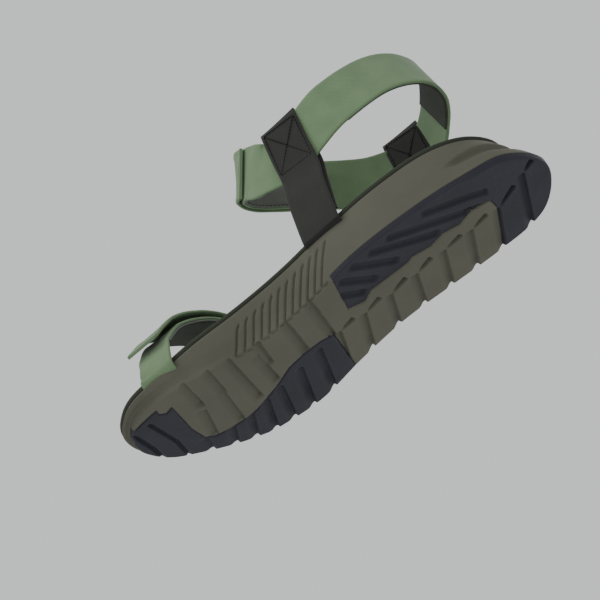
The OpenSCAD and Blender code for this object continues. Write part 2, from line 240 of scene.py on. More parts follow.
# ---------- node materials ----------
class Nodes:
    """A small builder for node materials."""

    def __init__(self, name):
        self.material = bpy.data.materials.new(name)
        self.material.use_nodes = True
        self.tree = self.material.node_tree
        self.shader = self.tree.nodes["Principled BSDF"]

    def add(self, kind, **settings):
        node = self.tree.nodes.new(kind)
        for key, value in settings.items():
            if key in node.inputs:
                self.plug(node.inputs[key], value)
            elif hasattr(node, key):
                setattr(node, key, value)
        return node

    def plug(self, socket, value):
        if isinstance(value, bpy.types.NodeSocket):
            self.tree.links.new(value, socket)
        else:
            socket.default_value = value

    def place(self):
        return self.add("ShaderNodeTexCoord").outputs["Object"]

    def uv(self):
        return self.add("ShaderNodeUVMap", uv_map="weave").outputs["UV"]

    def scaled(self, vector, scale):
        node = self.add("ShaderNodeMapping")
        self.plug(node.inputs["Vector"], vector)
        node.inputs["Scale"].default_value = scale
        return node.outputs["Vector"]

    def noise(self, vector, scale, detail=4.0, rough=0.55, distortion=0.0):
        node = self.add("ShaderNodeTexNoise")
        self.plug(node.inputs["Vector"], vector)
        node.inputs["Scale"].default_value = scale
        node.inputs["Detail"].default_value = detail
        node.inputs["Roughness"].default_value = rough
        node.inputs["Distortion"].default_value = distortion
        return node.outputs["Fac"]

    def wave(self, vector, scale, direction="X", distortion=0.0):
        node = self.add("ShaderNodeTexWave", wave_type="BANDS", bands_direction=direction, wave_profile="SIN")
        self.plug(node.inputs["Vector"], vector)
        node.inputs["Scale"].default_value = scale
        node.inputs["Distortion"].default_value = distortion
        return node.outputs["Fac"]

    def math(self, operation, a, b=0.0):
        node = self.add("ShaderNodeMath", operation=operation)
        self.plug(node.inputs[0], a)
        self.plug(node.inputs[1], b)
        return node.outputs[0]

    def ramp(self, value, stops):
        node = self.add("ShaderNodeValToRGB")
        self.plug(node.inputs["Fac"], value)
        band = node.color_ramp
        while len(band.elements) < len(stops):
            band.elements.new(0.5)
        for element, (place, colour) in zip(band.elements, stops):
            element.position = place
            element.color = colour if len(colour) == 4 else (*colour, 1)
        return node.outputs["Color"]

    def rise(self, value, start, gain):
        """start + gain x value."""
        return self.math("ADD", start, self.math("MULTIPLY", value, gain))

    def mix(self, factor, a, b):
        node = self.add("ShaderNodeMix", data_type="RGBA")
        self.plug(node.inputs[0], factor)
        self.plug(node.inputs[6], a if isinstance(a, bpy.types.NodeSocket) else (*a, 1))
        self.plug(node.inputs[7], b if isinstance(b, bpy.types.NodeSocket) else (*b, 1))
        return node.outputs[2]

    def wear_and_hollow_shade(self, base, colour, wear, edge_share, edge_gain, hollow_shade_share):
        """Rubs the raised edges to a lighter tone and paints shade into the hollows."""
        point = self.add("ShaderNodeNewGeometry").outputs["Pointiness"]
        edge = self.ramp(point, [(0.505, BLACK), (0.56, grey(edge_share))])
        base = self.mix(self.mix(wear, BLACK, edge), base, shaded(colour, edge_gain))
        # Painted shade: hollows, found by low pointiness, are darkened towards half the colour.
        hollow = self.ramp(point, [(0.43, grey(hollow_shade_share)), (0.495, BLACK)])
        return self.mix(hollow, base, shaded(colour, 0.5))

    def bump(self, height, strength, distance, previous=None):
        node = self.add("ShaderNodeBump")
        self.plug(node.inputs["Height"], height)
        node.inputs["Strength"].default_value = strength
        node.inputs["Distance"].default_value = distance
        if previous is not None:
            self.plug(node.inputs["Normal"], previous)
        return node.outputs["Normal"]

    def surface(self, colour, rough, normal=None):
        self.plug(self.shader.inputs["Base Color"], colour)
        self.plug(self.shader.inputs["Roughness"], rough)
        if normal is not None:
            self.plug(self.shader.inputs["Normal"], normal)
        self.shader.inputs["Specular IOR Level"].default_value = GLOSS
        return self.material


def grey(value):
    return (value, value, value)


BLACK = grey(0)
# All these surfaces are matt: one low specular level serves them all.
GLOSS = 0.2


def linear(hex_colour):
    """An sRGB colour such as "8b8877" as linear values."""
    values = [int(hex_colour[i:i + 2], 16) / 255 for i in (0, 2, 4)]
    return tuple(v / 12.92 if v <= 0.04045 else ((v + 0.055) / 1.055) ** 2.4 for v in values)


def shaded(colour, factor):
    return tuple(min(1.0, c * factor) for c in colour)


def webbing_material(name, colour, pitch=0.9, fuzz=0.4):
    """Flat woven webbing: warp ribs along the band, picks across it, soft fuzz and uneven dye."""
    m = Nodes(name)
    uv = m.uv()
    threads = m.scaled(uv, (1.0 / pitch, 1.0 / pitch, 1))
    warp = m.wave(threads, 0.5, "X", 0.4)
    weft = m.wave(threads, 0.42, "DIAGONAL", 0.6)
    weave = m.math("ADD", m.math("MULTIPLY", warp, 0.55), m.math("MULTIPLY", weft, 0.45))
    fibre = m.noise(m.scaled(uv, (3.2, 1.1, 1)), 1.0, 5, 0.7)
    cloud = m.noise(m.place(), 70, 3, 0.5)
    wear = m.noise(m.place(), 320, 4, 0.6)
    base = m.ramp(cloud, [(0.3, shaded(colour, 0.86)), (0.7, shaded(colour, 1.12))])
    base = m.mix(m.math("MULTIPLY", fibre, 0.5), base, shaded(colour, 1.25))
    # Painted shade: the gaps between the woven threads are darker.
    base = m.mix(m.math("MULTIPLY", m.math("SUBTRACT", 1.0, weave), 0.35), base, shaded(colour, 0.55))
    base = m.mix(m.ramp(wear, [(0.62, BLACK), (0.8, grey(0.25))]), base, shaded(colour, 1.35))
    rough = m.rise(fibre, 0.72, 0.22)
    normal = m.bump(weave, 0.55, 0.00022)
    normal = m.bump(fibre, fuzz, 0.00018, normal)
    material = m.surface(base, rough, normal)
    m.shader.inputs["Sheen Weight"].default_value = 0.15
    m.shader.inputs["Sheen Roughness"].default_value = 0.5
    return material


def foam_material(name, colour):
    """Moulded foam: fine skin grain, slight clouding, scuffs on the raised edges and painted shade in the
    hollows.
    """
    m = Nodes(name)
    place = m.place()
    grain = m.noise(place, 2600, 3, 0.6)
    cloud = m.noise(place, 28, 4, 0.55)
    speck = m.noise(place, 900, 2, 0.5)
    scuff = m.noise(m.scaled(place, (1, 0.35, 1)), 260, 5, 0.7)
    base = m.ramp(cloud, [(0.3, shaded(colour, 0.9)), (0.7, shaded(colour, 1.08))])
    base = m.mix(m.ramp(speck, [(0.55, BLACK), (0.75, grey(0.22))]), base, shaded(colour, 0.7))
    # Scuffs lighten the raised edges; the hollows get painted shade.
    base = m.wear_and_hollow_shade(base, colour, scuff, 0.4, 1.35, 0.55)
    rough = m.rise(cloud, 0.62, 0.22)
    normal = m.bump(grain, 0.35, 0.00012)
    normal = m.bump(scuff, 0.12, 0.0003, normal)
    return m.surface(base, rough, normal)


def rubber_material(name, colour):
    """Outsole rubber: denser than the foam, with mould grain, chalky rubbing on its edges and painted shade
    in its hollows.
    """
    m = Nodes(name)
    place = m.place()
    grain = m.noise(place, 1900, 3, 0.6)
    cloud = m.noise(place, 40, 4, 0.55)
    rub = m.noise(place, 420, 5, 0.75)
    base = m.ramp(cloud, [(0.3, shaded(colour, 0.85)), (0.72, shaded(colour, 1.15))])
    # Chalky rubbing on the raised edges, painted shade in the hollows.
    base = m.wear_and_hollow_shade(base, colour, rub, 0.45, 1.9, 0.6)
    return m.surface(base, m.rise(rub, 0.48, 0.3), m.bump(grain, 0.3, 0.0001))


def pile_material(name, colour, scale, height):
    """Hook or loop pile: a dense field of tiny bumps."""
    m = Nodes(name)
    cells = m.add("ShaderNodeTexVoronoi", feature="F1")
    m.plug(cells.inputs["Vector"], m.uv())
    cells.inputs["Scale"].default_value = scale
    pile_relief_and_shade = m.math("SUBTRACT", 1.0, cells.outputs["Distance"])
    fluff = m.noise(m.uv(), scale * 2.5, 4, 0.7)
    # Painted shade and highlight: the gaps between the pile bumps are dark, their tips light.
    base = m.ramp(pile_relief_and_shade, [(0.35, shaded(colour, 0.45)), (0.9, shaded(colour, 1.15))])
    base = m.mix(m.math("MULTIPLY", fluff, 0.4), base, shaded(colour, 1.3))
    normal = m.bump(pile_relief_and_shade, 0.9, height)
    normal = m.bump(fluff, 0.4, height / 2, normal)
    return m.surface(base, m.rise(fluff, 0.7, 0.25), normal)


def knit_material(name, colour):
    """Fine knitted lining over thin foam."""
    m = Nodes(name)
    uv = m.scaled(m.uv(), (0.9, 0.9, 1))
    rows = m.wave(uv, 0.55, "Y", 0.5)
    wales = m.wave(uv, 0.55, "X", 1.5)
    loop = m.math("MULTIPLY", rows, wales)
    fluff = m.noise(m.uv(), 2.2, 5, 0.7)
    cloud = m.noise(m.place(), 60, 3, 0.5)
    base = m.ramp(cloud, [(0.3, shaded(colour, 0.85)), (0.7, shaded(colour, 1.15))])
    # Painted highlight: the raised knit loops are lighter.
    base = m.mix(m.math("MULTIPLY", loop, 0.35), base, shaded(colour, 1.45))
    base = m.mix(m.math("MULTIPLY", fluff, 0.25), base, shaded(colour, 0.6))
    normal = m.bump(loop, 0.5, 0.0002)
    normal = m.bump(fluff, 0.3, 0.00015, normal)
    return m.surface(base, m.rise(fluff, 0.75, 0.2), normal)


def thread_material(name, colour):
    """Twisted sewing thread."""
    m = Nodes(name)
    place = m.place()
    twist_relief_and_shade = m.wave(m.scaled(place, (900, 900, 900)), 1.0, "DIAGONAL", 0.4)
    tone = m.noise(place, 240, 2, 0.5)
    # Painted shade and highlight: the twist's ridges are lighter, its grooves darker.
    base = m.mix(twist_relief_and_shade, shaded(colour, 0.6), shaded(colour, 1.3))
    base = m.mix(m.math("MULTIPLY", tone, 0.4), base, shaded(colour, 1.6))
    return m.surface(base, m.rise(twist_relief_and_shade, 0.5, 0.25), m.bump(twist_relief_and_shade, 0.5, 0.00008))


def nylon_material(name, colour):
    """Glass-filled nylon plate, inside the sole."""
    m = Nodes(name)
    place = m.place()
    flow = m.noise(m.scaled(place, (1, 0.15, 1)), 700, 4, 0.6, 0.3)
    base = m.ramp(flow, [(0.35, shaded(colour, 0.7)), (0.7, shaded(colour, 1.5))])
    return m.surface(base, m.rise(flow, 0.35, 0.25), m.bump(flow, 0.25, 0.0001))


def footbed_material(name, colour):
    """Top cover of the footbed: small moulded grip cells, with painted shade in the grooves between them."""
    m = Nodes(name)
    place = m.place()
    cells = m.add("ShaderNodeTexVoronoi", feature="DISTANCE_TO_EDGE")
    m.plug(cells.inputs["Vector"], m.scaled(place, (1, 1, 0.05)))
    cells.inputs["Scale"].default_value = 330
    cells.inputs["Randomness"].default_value = 0.35
    cell_relief_and_shade = m.ramp(cells.outputs["Distance"], [(0.02, BLACK), (0.18, grey(1))])
    cloud = m.noise(place, 45, 4, 0.55)
    grain = m.noise(place, 2400, 3, 0.6)
    base = m.ramp(cloud, [(0.3, shaded(colour, 0.85)), (0.7, shaded(colour, 1.15))])
    # Painted shade: the grooves between the grip cells are darkened.
    base = m.mix(cell_relief_and_shade, shaded(colour, 0.55), base)
    normal = m.bump(cell_relief_and_shade, 0.6, 0.00035)
    normal = m.bump(grain, 0.3, 0.0001, normal)
    return m.surface(base, m.rise(grain, 0.55, 0.3), normal)


mat_webbing = webbing_material("sage_webbing", linear("6a8260"))
mat_tape = webbing_material("post_tape_weave", linear("272824"), 0.7, 0.3)
mat_foam = foam_material("midsole_foam", linear("545449"))
mat_edge = foam_material("footbed_foam", linear("2e3228"))
mat_rubber = rubber_material("outsole_rubber", linear("292930"))
mat_lining = knit_material("lining_knit", linear("747870"))
mat_heel_lining = knit_material("heel_lining_knit", linear("3e413b"))
mat_loop = pile_material("loop_pile", linear("748a6c"), 2.0, 0.0003)
mat_hook = pile_material("hook_pile", linear("5c7054"), 1.4, 0.0005)
mat_thread = thread_material("dark_thread", linear("1b1d18"))
mat_pale_thread = thread_material("green_thread", linear("7d9274"))
mat_nylon = nylon_material("shank_nylon", linear("26262a"))
mat_cover = footbed_material("footbed_cover", linear("2b2e27"))

# ---------- sole ----------
# The sole is one grid: columns round the outline, rows down the wall and then in to the middle line.
PER_POINT = 44
INNER_ROWS = 66
# Tread points this close to a pad's outline, in mm, are moved on to it.
SNAP = 0.42
DEEPEST = 3.4
COLUMNS = PER_POINT * len(GROUND_PLAN)
ground_ring = closed_curve(GROUND_PLAN, PER_POINT)
top_ring = closed_curve(TOP_PLAN, PER_POINT)


def plan_ring(f, grow):
    ring = ground_ring * (1 - f) + top_ring * f
    t = unit(np.roll(ring, -1, axis=0) - np.roll(ring, 1, axis=0))
    return ring + np.stack([-t[:, 1], t[:, 0]], axis=1) * grow


def sole_ring(f, lift, grow):
    ring = plan_ring(f, grow)
    z = ground_z(ring[:, 1]) * (1 - f) + top_z(ring[:, 1]) * f + lift
    return np.column_stack([ring, z])


def middle_of(ring):
    """The point half-way to the opposite side, for each point of a ring."""
    other = ring[(-np.arange(len(ring))) % len(ring)]
    return (ring + other) / 2


def to_segment(x, y, a, b):
    """Distance along the segment from a, signed distance (left is +), and the plain distance."""
    dx, dy = b[0] - a[0], b[1] - a[1]
    length = math.hypot(dx, dy)
    along = ((x - a[0]) * dx + (y - a[1]) * dy) / length
    side = (-(x - a[0]) * dy + (y - a[1]) * dx) / length
    held = np.clip(along, 0, length)
    gap = np.hypot(x - a[0] - dx / length * held, y - a[1] - dy / length * held)
    return along, side, gap


def inside(x, y, polygon):
    result = np.zeros(np.shape(x), bool)
    for (ax, ay), (bx, by) in zip(polygon, polygon[1:] + polygon[:1]):
        crosses = (ay > y) != (by > y)
        if ay != by:
            result ^= crosses & (x < (bx - ax) * (y - ay) / (by - ay) + ax)
    return result


def edge_distance(x, y, polygon):
    gap = np.full(np.shape(x), 1e6)
    for a, b in zip(polygon, polygon[1:] + polygon[:1]):
        gap = np.minimum(gap, to_segment(x, y, a, b)[2])
    return gap


def tread_cut(x, y, a, b, depth, wall, floor, ramp, start):
    """A tread cut that runs from a sideways to b: a steep wall, and then a ramp on its toe side."""
    along, side = to_segment(x, y, a, b)[:2]
    rise = smooth(side / wall)
    fall = 1 - smooth((side - wall - floor) / ramp)
    return depth * rise * fall * (side > 0) * smooth((along + start) / start)


def crease(x, y, a, b, depth, half):
    return depth * (1 - smooth(to_segment(x, y, a, b)[2] / half))


# The side of a lug, as height above its lowest plane and offset from the outline.
LUG_WALL = [
    (4.2, -0.05), (3.4, -0.1), (2.6, -0.18), (1.9, -0.24), (1.2, -0.3), (0.6, -0.7), (0.18, -1.3), (0, -2.0),
]
# Corners of the lateral lugs, heel first, with the far ends of their long and short legs.
LATERAL_LUGS = [
    ((-9, -146), (55, -131.5), (-12, -154)), ((2.1, -123.3), (55, -109.4), (-4.1, -137.7)),
    ((3.1, -103.6), (55, -90.4), (1.5, -115.1)), ((3, -84.1), (55, -72), (2.5, -96.1)),
    ((5, -63.1), (55, -52.7), (2.4, -74.9)), ((6, -44.3), (56, -32.7), (3.2, -56.4)),
    ((5.6, -25.5), (58, -11.3), (3.4, -37.4)), ((5, -7.5), (58, 5), (4, -18)),
]
MEDIAL_CUTS = [
    ((-60, -9), (7, -4)), ((-60, 9), (3, 13.4)), ((-60, 28), (-12, 33)), ((-26, 36), (6, 37.5)),
    ((-60, 48), (9, 52)), ((-60, 61), (-17, 64.4)), ((-17, 65.5), (20, 70)), ((-60, 77), (-14, 80)),
    ((-8, 82), (23, 89)),
]
FRONT_CUTS = [
    ((8, 8), (62, 20)), ((12, 24), (62, 36)), ((15, 40), (62, 50)), ((17, 51.5), (62, 64)),
    ((19, 64), (62, 78)), ((22, 78), (62, 91)), ((24, 96), (62, 103)),
]
TOE_CUTS = [
    ((-18, 113.7), (12, 111.5)), ((12, 111.5), (60, 117)), ((-14, 126), (8, 125)), ((8, 125), (50, 128)),
]
ARCH_BARS = [
    ((-39, -85), (-15, -131)), ((-41, -61), (-9, -115)), ((-40, -48), (-13, -88)), ((-40, -35), (-16, -60)),
    ((-35, -25), (-14, -44)), ((-24, -19), (-10, -34)),
]


def pocket(x, y, corner, back):
    """The pocket along a lug's short leg: it gets wider and deeper from the corner to its blunt heel end."""
    along, side = to_segment(x, y, corner, back)[:2]
    depth = 2.5
    share = along / math.dist(corner, back)
    width = 1.4 + 4.0 * np.clip(share, 0, 1)
    wall = smooth(-side / 0.8) * (1 - smooth((-side - 0.9) / width))
    return depth * wall * smooth((share + 0.05) / 0.5) * (1 - smooth((share - 0.95) / 0.08)) * (side < 0)


def tread(x, y):
    """How far the tread's surface lies above its lowest plane."""
    heel = inside(x, y, HEEL_PAD_PLAN)
    front = inside(x, y, FRONT_PAD_PLAN)
    lift = np.zeros(np.shape(x))
    lateral = smooth((x - 22) / 16)
    for corner, far, back in LATERAL_LUGS:
        cut = tread_cut(x, y, corner, far, 2.3 + 1.0 * lateral, wall=0.7, floor=0.1, ramp=7.0, start=1.2)
        lift = np.maximum(lift, cut)
        lift = np.maximum(lift, pocket(x, y, corner, back))
    for a, b in MEDIAL_CUTS:
        cut = tread_cut(x, y, a, b, 2.6, wall=0.8, floor=0.2, ramp=7.5, start=2.0)
        lift = np.maximum(lift, np.where(front | heel, 0, cut * (1 - smooth((x - b[0] + 2) / 3))))
    fore = np.zeros(np.shape(x))
    for a, b in FRONT_CUTS:
        cut = tread_cut(x, y, a, b, 2.2 + 0.8 * lateral, wall=0.8, floor=0.2, ramp=7.0, start=4)
        fore = np.maximum(fore, cut)
    for a, b in TOE_CUTS:
        fore = np.maximum(fore, crease(x, y, a, b, 2.4, 2.2))
    lift = np.where(front, fore, lift)
    bars = np.zeros(np.shape(x))
    for a, b in ARCH_BARS:
        along, side = to_segment(x, y, a, b)[:2]
        length = math.dist(a, b)
        shape = 1 - smooth((np.abs(side) - 1.3) / 2.4)
        bars = np.maximum(bars, 2.1 * shape * smooth((length - along) / 4) * smooth((along + 2) / 6))
    recess = 1.0 * smooth((y + 124) / 14) + bars
    tail = smooth((-116 - y + 0.27 * x) / 2)
    lift = np.where(heel, lift * tail + recess * (1 - smooth((-124 - y) / 8)) * (1 - tail), lift)
    parting = np.minimum(edge_distance(x, y, HEEL_PAD_PLAN), edge_distance(x, y, FRONT_PAD_PLAN))
    lift = np.maximum(lift, 0.8 * (1 - smooth(parting / 1.1)))
    return np.minimum(lift, DEEPEST)


def rib_lines():
    """The louvre lines on the medial wall, as (y, z) corners: a short turn at each end towards the heel."""
    lines = []
    for i in range(RIBS):
        s = i / (RIBS - 1)
        top_y = -31 + 68 * s
        low_y = top_y + 15 - 6 * s
        top = (top_y, float(top_z(top_y)) - 7.5 - 1.5 * s)
        low = (low_y, 3.2 - 1.4 * s)
        turned_in = [(low_y - 1.2, low[1] - 0.9), (low_y - 4.4, low[1] - 1.2)]
        lines.append([(top_y - 1.8, top[1] + 1.4), top, low] + turned_in)
    return lines


def side_relief(points):
    """How far the wall goes in at each of its points."""
    x, y, z = points[:, 0], points[:, 1], points[:, 2]
    depth = np.zeros(len(points))
    near = (x < 0) & (y > -45) & (y < 62)
    if near.any():
        cut = np.zeros(near.sum())
        for line in rib_lines():
            gap = np.full(near.sum(), 1e6)
            for a, b in zip(line, line[1:]):
                gap = np.minimum(gap, to_segment(y[near], z[near], a, b)[2])
            cut = np.maximum(cut, 1.2 * (1 - smooth((gap - 0.15) / 0.75)))
        depth[near] = cut
    # The crescent scoop round the heel.
    reach = np.clip((-107 - y) / 40, 0, 1)
    middle = 15 + 3.5 * reach
    half = 0.2 + 5.2 * np.sqrt(reach)
    place = (z - middle) / half
    scoop = np.where(np.abs(place) < 1, (1 - np.abs(place) ** 3) * smooth(reach * 3), 0)
    return depth + 3.6 * scoop * np.sqrt(reach)


def sole_rows():
    """The rows of the wall and of the tread. The last eight rows of the wall are the sides of the lugs."""
    profile = open_curve([
        (1, -0.0, -0.5), (1, -1.2, 0.2), (0.72, 0.6, 0.5), (0.45, 2.4, 0.6), (0.2, 4.2, 0.3), (0, LUG_H, 0),
    ], 7)
    rows = [sole_ring(f, lift, grow) for f, lift, grow in profile]
    wall = np.array(rows)
    across = np.gradient(wall, axis=0)
    around = np.roll(wall, -1, axis=1) - np.roll(wall, 1, axis=1)
    normal = unit(np.cross(around, across) + 1e-9)
    outwards = wall[..., :2] - middle_of(wall[0])[None, :, :2]
    facing = np.sign((normal[..., :2] * outwards).sum(-1, keepdims=True))
    normal = normal * np.where(facing == 0, 1, facing)
    depth = np.array([side_relief(row) for row in wall])
    fade = smooth(np.arange(len(wall)) / 3)[:, None]
    wall = wall - normal * (depth * fade)[..., None]
    for lift, grow in LUG_WALL:
        ring = plan_ring(0, grow)
        carved = side_relief(np.column_stack([ring, ground_z(ring[:, 1]) + lift]))
        ring = ring + (plan_ring(0, grow - 1) - ring) * carved[:, None]
        height = np.maximum(lift, np.where(lift < 3.5, tread(ring[:, 0], ring[:, 1]), 0))
        wall = np.concatenate([wall, np.column_stack([ring, ground_z(ring[:, 1]) + height])[None]])
    start = plan_ring(0, -2.0)
    centre = middle_of(start)
    shares = (np.arange(1, INNER_ROWS + 1) / INNER_ROWS)[:, None, None]
    bottom = start + (centre - start) * shares
    x, y = bottom[..., 0], bottom[..., 1]
    for polygon in (HEEL_PAD_PLAN, FRONT_PAD_PLAN):
        for a, b in zip(polygon, polygon[1:] + polygon[:1]):
            along, side, gap = to_segment(x, y, a, b)
            length = math.dist(a, b)
            snap = (gap < SNAP) & (along > 0) & (along < length)
            snap[-1] = False
            nx, ny = -(b[1] - a[1]) / length, (b[0] - a[0]) / length
            x = np.where(snap, x - nx * side, x)
            y = np.where(snap, y - ny * side, y)
    z = ground_z(y) + tread(x, y)
    return wall, np.stack([x, y, z], axis=-1)


wall_rows, bottom_rows = sole_rows()
all_rows = np.concatenate([wall_rows, bottom_rows])
row_count = len(all_rows)
points = all_rows.reshape(-1, 3)
quads = np.array(grid_faces(row_count, COLUMNS))
first_lug_row = len(wall_rows) - len(LUG_WALL)
pad_gaps = [edge_distance(points[:, 0], points[:, 1], plan) for plan in (HEEL_PAD_PLAN, FRONT_PAD_PLAN)]
outline_gap = np.minimum(*pad_gaps)
on_outline = (outline_gap < 1e-6)[quads]
turned = on_outline[:, 1] & on_outline[:, 3] & ~(on_outline[:, 0] & on_outline[:, 2])
lower = np.where(turned[:, None], quads[:, [0, 1, 3]], quads[:, [0, 1, 2]])
upper = np.where(turned[:, None], quads[:, [1, 2, 3]], quads[:, [0, 2, 3]])
cells = np.concatenate([lower, upper])
on_tread = cells.min(axis=1) // COLUMNS >= first_lug_row
# The two sides meet along the middle line, so their points there are joined.
first, joined = np.unique(np.round(points, 4), axis=0, return_index=True, return_inverse=True)[1:]
points = points[first]
cells = joined.reshape(-1)[cells]
whole = (cells[:, 0] != cells[:, 1]) & (cells[:, 1] != cells[:, 2]) & (cells[:, 2] != cells[:, 0])
cells, on_tread = cells[whole], on_tread[whole]
centres = points[cells].mean(axis=1)
in_heel = on_tread & inside(centres[:, 0], centres[:, 1], HEEL_PAD_PLAN)
in_front = on_tread & inside(centres[:, 0], centres[:, 1], FRONT_PAD_PLAN)


def backed(name, faces, material, back_lift):
    """A pad: its tread faces, a back face above them and walls between the two."""
    used, index = np.unique(faces, return_inverse=True)
    faces = index.reshape(faces.shape)
    front = points[used]
    back = front.copy()
    back[:, 2] = np.maximum(ground_z(front[:, 1]) + back_lift, front[:, 2] + 0.4)
    n = len(front)
    edges = {}
    for f in faces:
        for a, b in zip(f, np.roll(f, -1)):
            edges[(a, b)] = True
    rim = [(b, a, a + n, b + n) for a, b in edges if (b, a) not in edges]
    both = [tuple(f) for f in faces] + [tuple(i + n for i in f[::-1]) for f in faces] + rim
    obj = add_mesh(name, np.concatenate([front, back]), both, material)
    clean(obj)
    return obj


def midsole_piece():
    beige = cells[~(in_heel | in_front)]
    seat = cells[in_heel | in_front]
    used, index = np.unique(seat, return_inverse=True)
    seat_faces = index.reshape(seat.shape)
    seat_points = points[used].copy()
    seat_points[:, 2] = ground_z(seat_points[:, 1]) + LUG_H - 0.3
    top = [sole_ring(1, 0, -0.5)]
    base = top[0]
    centre = middle_of(base)
    for k in (0.3, 0.7, 1.0):
        top.append(base + (centre - base) * k)
    top = np.concatenate(top)
    top_faces = [f[::-1] for f in grid_faces(4, COLUMNS)]
    n = len(points)
    m = n + len(seat_points)
    edges = {}
    for f in seat:
        for a, b in zip(f, np.roll(f, -1)):
            edges[(a, b)] = True
    number = {int(v): i for i, v in enumerate(used)}
    rim = [
        (a, b, number[int(b)] + n, number[int(a)] + n) for a, b in edges if (b, a) not in edges
    ]
    faces = [tuple(f) for f in beige] + [tuple(i + n for i in f) for f in seat_faces] + rim
    faces += [tuple(i + m for i in f) for f in top_faces]
    obj = add_mesh("midsole_skin", np.concatenate([points, seat_points, top]), faces, mat_foam)
    clean(obj)
    return obj


finish_piece(midsole_piece(), "sandal", "midsole_foam", "midsole")
heel_pad = backed("heel_pad_skin", cells[in_heel], mat_rubber, LUG_H - 0.5)
finish_piece(heel_pad, "sandal", "outsole_rubber", "heel_outsole_pad")
front_pad = backed("front_pad_skin", cells[in_front], mat_rubber, LUG_H - 0.5)
finish_piece(front_pad, "sandal", "outsole_rubber", "front_outsole_pad")


# ---------- footbed ----------
def footbed_piece():
    profile = [
        (0.0, -9.0), (-0.02, -0.9), (0.35, -0.35), (1.0, 0.05), (1.9, 0.12), (2.7, -0.1), (3.2, -0.55),
        (3.25, -1.1), (2.5, -1.7), (2.3, -2.6),
    ]
    rings = [sole_ring(1, lift, grow) for lift, grow in profile]
    last = rings[-1]
    rings += [last + (middle_of(last) - last) * share for share in (0.25, 0.6, 1.0)]
    under = sole_ring(1, 0.0, -9.0)
    centre = middle_of(under)
    under = [under, under + (centre - under) * 0.5, centre]
    n = len(rings) * COLUMNS
    faces = grid_faces(len(rings), COLUMNS)
    faces += [tuple(i + n for i in f[::-1]) for f in grid_faces(len(under), COLUMNS)]
    obj = add_mesh("footbed_layer", np.concatenate(rings + under), faces, mat_edge)
    clean(obj)
    return obj


def cover_piece():
    rings = []
    for lift, grow in [(2.6, -1.6), (2.9, -1.15), (3.35, -1.0), (3.6, -1.4), (3.55, -2.2)]:
        rings.append(sole_ring(1, lift, grow))
    edge = sole_ring(1, 0, -2.8)
    centre = middle_of(edge)
    for k in range(1, 35):
        share = k / 34
        ring = edge + (centre - edge) * share
        y = ring[:, 1]
        inward = np.linalg.norm((ring - edge)[:, :2], axis=1)
        hollow = DISH * smooth(inward / 9)
        # The heel cup is a little deeper, and the arch rises on the medial side.
        cup = 1.0 * smooth((-70 - y) / 50) * smooth(inward / 18)
        arch = 1.8 * np.exp(-((y + 30) / 38) ** 2) * smooth((-ring[:, 0] - 4) / 26) * smooth(inward / 6)
        ring[:, 2] = top_z(y) + FOOTBED_EDGE - 0.1 - hollow - cup + arch
        rings.append(ring)
    rings = np.array(rings)
    obj = add_mesh("footbed_cover_skin", rings.reshape(-1, 3), grid_faces(len(rings), COLUMNS), mat_cover)
    clean(obj)
    return obj


footbed = finish_piece(footbed_piece(), "sandal", "footbed_foam", "footbed")
cover = finish_piece(cover_piece(), "sandal", "footbed_cover", "footbed_cover")


# ---------- bands ----------
def band_frames(route, ref, n):
    """Centre, width direction and face direction along a route, as in part.scad."""
    c = open_curve(route, n)
    p = c[:, :3]
    d = np.empty_like(p)
    d[1:-1] = p[2:] - p[:-2]
    d[0] = p[1] - p[0]
    d[-1] = p[-1] - p[-2]
    d = unit(d)
    w0 = unit(ref - d * (d @ ref)[:, None])
    n0 = np.cross(d, w0)
    lean = np.radians(c[:, 3])[:, None]
    w = w0 * np.cos(lean) + n0 * np.sin(lean)
    return p, w, np.cross(d, w)


def lengths(p):
    return np.concatenate([[0], np.cumsum(np.linalg.norm(np.diff(p, axis=0), axis=1))])


def band_mesh(name, frames, width, thick, material, shift=0, edge=0.45, wave=0, across=18, tip=0, seed=0):
    """A flat band with rounded selvedges. wave ripples its edges, tip narrows its ends."""
    p, w, n = frames
    s = lengths(p)
    half_t = thick / 2
    u = np.linspace(-1, 1, across)
    flat = 1 - 2 * edge / width
    shoulder = 1 - 0.18 * edge / width
    profile = [(a, 1.0) for a in u * flat]
    profile += [(shoulder, 0.62), (1.0, 0.0), (shoulder, -0.62)]
    profile += [(a, -1.0) for a in u[::-1] * flat]
    profile += [(-shoulder, -0.62), (-1.0, 0.0), (-shoulder, 0.62)]
    profile = np.array(profile)
    rings = []
    uv = []
    for k in range(len(p)):
        end = min(s[k], s[-1] - s[k])
        narrow = 1.0 if tip <= 0 or end > tip else 1 - 0.06 * (1 - end / tip) ** 2
        a = profile[:, 0] * width / 2 * narrow
        ripple = wave * np.sin(s[k] * 0.21 + seed) * profile[:, 0]
        ripple = ripple + 0.5 * wave * np.sin(s[k] * 0.47 + 2 * seed)
        selvedge = 1 + 0.12 * smooth((np.abs(profile[:, 0]) - 0.86) / 0.06)
        b = profile[:, 1] * half_t * selvedge + shift + ripple * 0.6
        rings.append(p[k] + a[:, None] * w[k] + b[:, None] * n[k])
        uv.append(np.column_stack([profile[:, 0] * width / 2, np.full(len(profile), s[k])]))
    rings = np.array(rings)
    count = len(profile)
    faces = [f[::-1] for f in grid_faces(len(rings), count)]
    # End caps, as strips between the two faces.
    for row, flip in ((0, False), (len(rings) - 1, True)):
        base = row * count
        for i in range(across - 1):
            j = 2 * across + 2 - i
            f = (base + i, base + i + 1, base + j - 1, base + j)
            faces.append(f[::-1] if flip else f)
        right = tuple(base + across + i for i in (-1, 0, 1, 2, 3))
        left = tuple(base + 2 * across + i for i in (2, 3, 4, 5)) + (base,)
        for f in (right, left):
            faces.append(f[::-1] if flip else f)
    return add_mesh(name, rings.reshape(-1, 3), faces, material, uv=np.array(uv).reshape(-1, 2), sharp=60)


